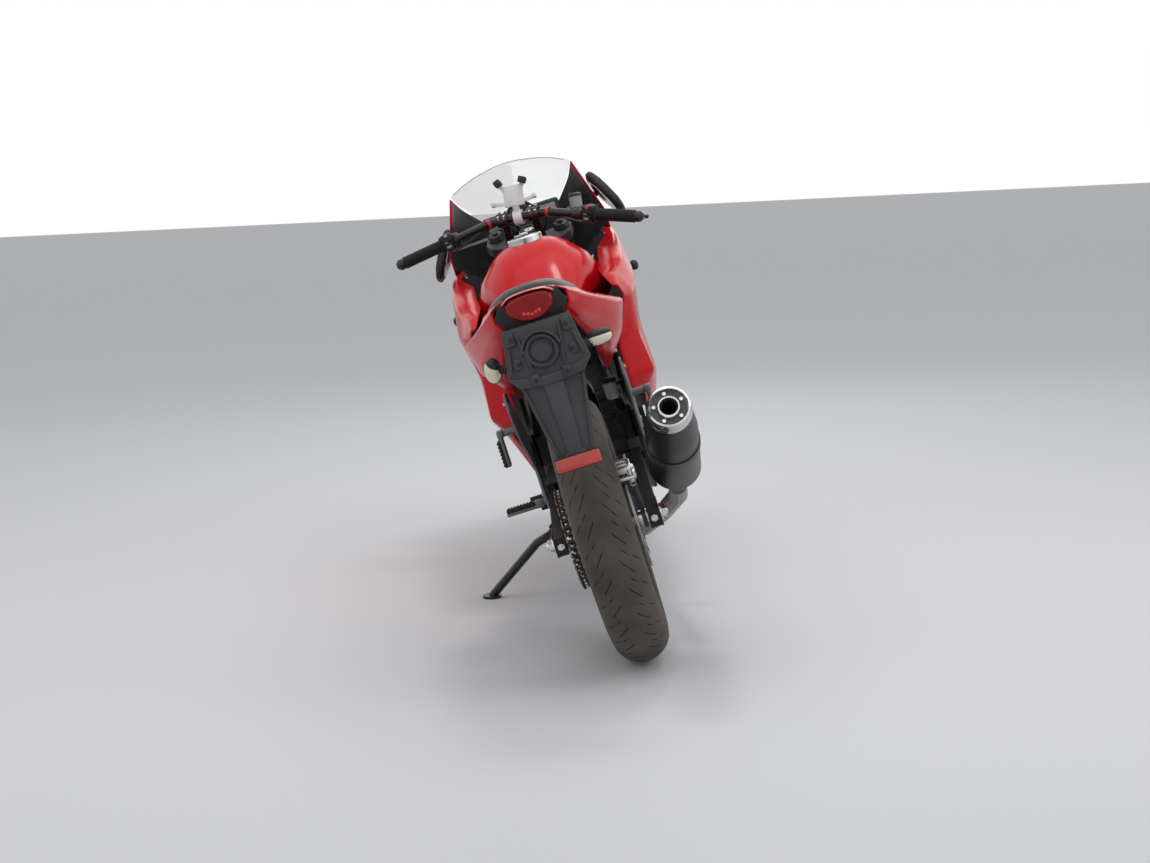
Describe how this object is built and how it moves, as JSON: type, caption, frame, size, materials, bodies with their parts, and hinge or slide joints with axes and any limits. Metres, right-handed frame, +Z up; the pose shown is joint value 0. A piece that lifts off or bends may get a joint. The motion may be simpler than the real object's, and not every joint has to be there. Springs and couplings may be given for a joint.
{
  "type": "sport bike",
  "caption": "Full-fairing sport bike leaning on its side stand, with turning steering, rolling wheels, folding stand and a hinged fuel cap.",
  "frame": {"origin": "centre of the parked bike's box, on the ground", "axes": "+X to the bike's right, +Y forward, +Z up"},
  "size_m": [0.7622, 2.1114, 1.1191],
  "materials": {
    "frame_black": "satin",
    "engine_grey": "satin",
    "alloy": "satin",
    "red_paint": "gloss",
    "black_metal": "satin",
    "seat_vinyl": "gloss",
    "black_plastic": "matte",
    "red_lens": "gloss",
    "clear_lens": "gloss",
    "smoke_screen": "clear",
    "steel": "brushed",
    "chain_steel": "oiled",
    "grey_paint": "satin",
    "rubber": "matte",
    "tyre": "matte",
    "rim_black": "satin",
    "disc_steel": "brushed",
    "chrome": "polished",
    "white_plastic": "satin"
  },
  "bodies": {
    "fork": {"yokes": "alloy", "fork_tubes": "chrome", "fork_sliders": "alloy", "front_axle": "steel", "front_fender": "red_paint", "front_caliper": "alloy", "handlebar": "black_metal", "grips": "rubber", "switch_housings": "black_plastic", "levers": "black_metal", "phone_holder": "white_plastic"},
    "front_wheel": {"front_tyre": "tyre", "front_rim": "rim_black", "front_disc": "disc_steel"},
    "rear_wheel": {"rear_tyre": "tyre", "rear_rim": "rim_black", "rear_disc": "disc_steel", "rear_sprocket": "chain_steel"},
    "side_stand": {"side_stand": "black_metal"},
    "fuel_cap": {"fuel_cap": "alloy"},
    "chassis": {"frame": "frame_black", "engine_cradle": "frame_black", "subframe": "frame_black", "nose_stay": "frame_black", "engine": "engine_grey", "radiator": "alloy", "fuel_tank": "red_paint", "rider_seat": "seat_vinyl", "pillion_seat": "seat_vinyl", "tail_cowl_left": "red_paint", "tail_cowl_right": "red_paint", "tail_cowl_centre": "red_paint", "undertray": "black_plastic", "tail_lamp": "red_lens", "rear_fender": "black_plastic", "rear_reflector": "red_lens", "turn_signals": "clear_lens", "inner_fender": "black_plastic", "nose_cowl": "red_paint", "inner_liners": "black_plastic", "headlamp": "clear_lens", "windscreen": "smoke_screen", "side_fairing_left": "red_paint", "side_fairing_right": "red_paint", "instrument_panel": "black_plastic", "mirrors": "black_plastic", "swingarm": "frame_black", "rear_axle": "steel", "rear_shock": "steel", "rear_caliper": "alloy", "chain": "chain_steel", "chain_guard": "black_plastic", "footrest_brackets": "grey_paint", "rider_pegs": "rubber", "pillion_pegs": "rubber", "foot_pedals": "black_metal", "exhaust_header": "steel", "silencer_body": "black_metal", "silencer_cap": "steel", "brake_reservoir": "clear_lens"}
  },
  "joints": [
    {"name": "steering", "type": "hinge", "parent": "chassis", "child": "fork", "pos_m": [0.00731, 0.41223, 0.80543], "axis": [-0.2337, -0.4398, 0.8672], "range_deg": [-22, 48]},
    {"name": "front_wheel_spin", "type": "hinge", "parent": "fork", "child": "front_wheel", "pos_m": [0.15897, 0.73457, 0.29002], "axis": [0.9665, -0.2024, 0.1578], "continuous": true},
    {"name": "rear_wheel_spin", "type": "hinge", "parent": "chassis", "child": "rear_wheel", "pos_m": [0.14329, -0.66418, 0.29868], "axis": [0.9656, -0.0004, 0.26], "continuous": true},
    {"name": "side_stand_fold", "type": "hinge", "parent": "chassis", "child": "side_stand", "pos_m": [0.02567, -0.08477, 0.19027], "axis": [-0.6807, 0.2183, 0.6993], "range_deg": [0, 93.44]},
    {"name": "fuel_cap_lift", "type": "hinge", "parent": "chassis", "child": "fuel_cap", "pos_m": [-0.02467, 0.15005, 0.92377], "axis": [-0.9656, 0.0004, -0.26], "range_deg": [0, 95]}
  ]
}
